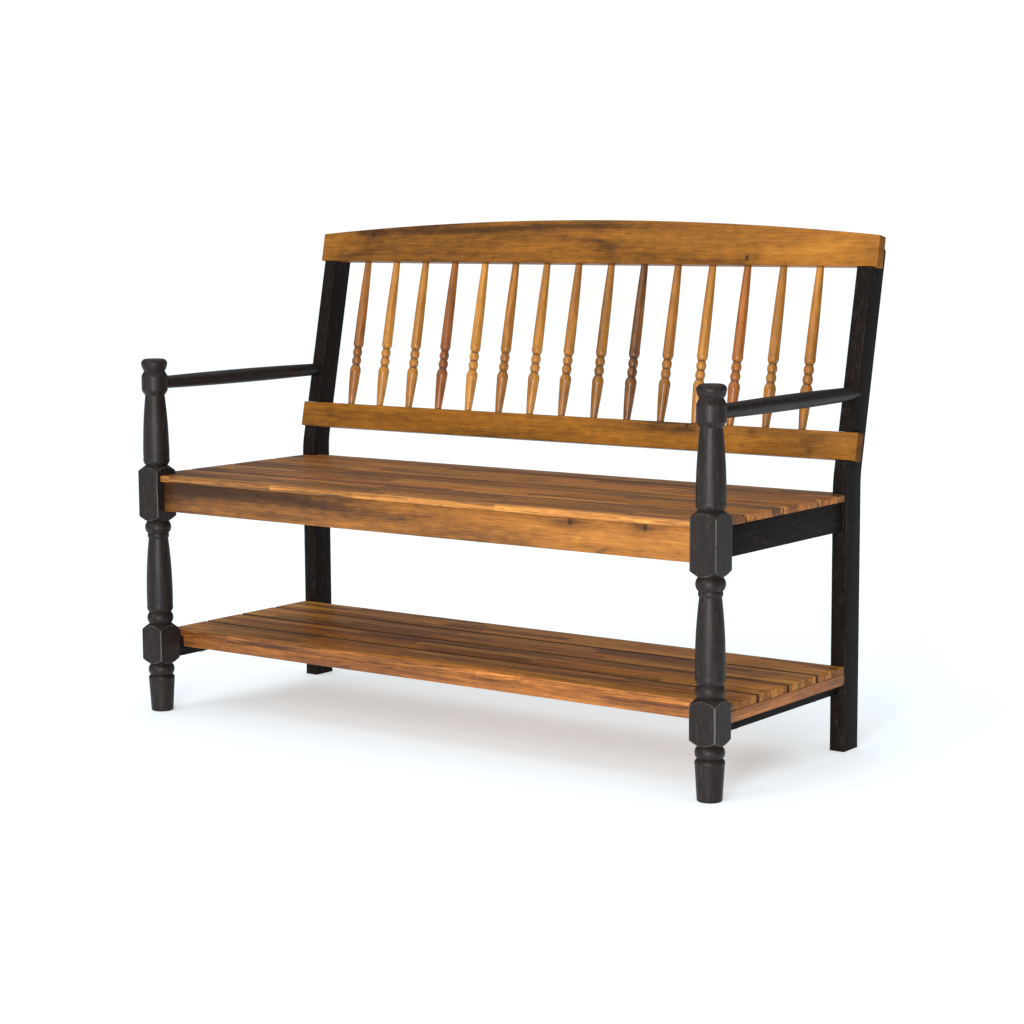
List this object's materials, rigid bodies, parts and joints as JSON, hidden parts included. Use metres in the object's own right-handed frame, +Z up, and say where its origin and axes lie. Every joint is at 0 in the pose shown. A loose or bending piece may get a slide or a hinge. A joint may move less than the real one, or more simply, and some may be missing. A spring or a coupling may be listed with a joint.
{
  "type": "bench",
  "caption": "Wooden hall bench with black turned front legs, rod arms, a spindle back under a gently arched rail, a slatted seat and a slatted shelf near the floor",
  "frame": {"origin": "On the floor, at the middle of the bench's footprint", "axes": "+X to the right of a person who looks at the front of the bench, +Y to its back, +Z up"},
  "size_m": [1.249, 0.5744, 0.9056],
  "materials": {
    "wood": "satin",
    "black_paint": "satin",
    "steel": "satin"
  },
  "bodies": {
    "root": {"arm_left": "black_paint", "arm_right": "black_paint", "back_bolts": "steel", "corner_braces": "wood", "front_apron": "wood", "front_leg_left": "black_paint", "front_leg_right": "black_paint", "lower_back_rail": "wood", "rear_apron": "wood", "rear_post_left": "black_paint", "rear_post_right": "black_paint", "seat_bearer_left": "wood", "seat_bearer_right": "wood", "seat_bolts": "steel", "seat_end_cleat_left": "wood", "seat_end_cleat_right": "wood", "seat_side_rail_left": "black_paint", "seat_side_rail_right": "black_paint", "seat_slat_1": "wood", "seat_slat_2": "wood", "seat_slat_3": "wood", "seat_slat_4": "wood", "shelf_bearer_left": "wood", "shelf_bearer_right": "wood", "shelf_bolts": "steel", "shelf_end_batten_left": "wood", "shelf_end_batten_right": "wood", "shelf_front_rail": "wood", "shelf_rear_rail": "wood", "shelf_side_rail_left": "black_paint", "shelf_side_rail_right": "black_paint", "shelf_slat_1": "wood", "shelf_slat_2": "wood", "shelf_slat_3": "wood", "shelf_slat_4": "wood", "spindle_01": "wood", "spindle_02": "wood", "spindle_03": "wood", "spindle_04": "wood", "spindle_05": "wood", "spindle_06": "wood", "spindle_07": "wood", "spindle_08": "wood", "spindle_09": "wood", "spindle_10": "wood", "spindle_11": "wood", "spindle_12": "wood", "spindle_13": "wood", "spindle_14": "wood", "spindle_15": "wood", "top_rail": "wood"}
  },
  "joints": []
}
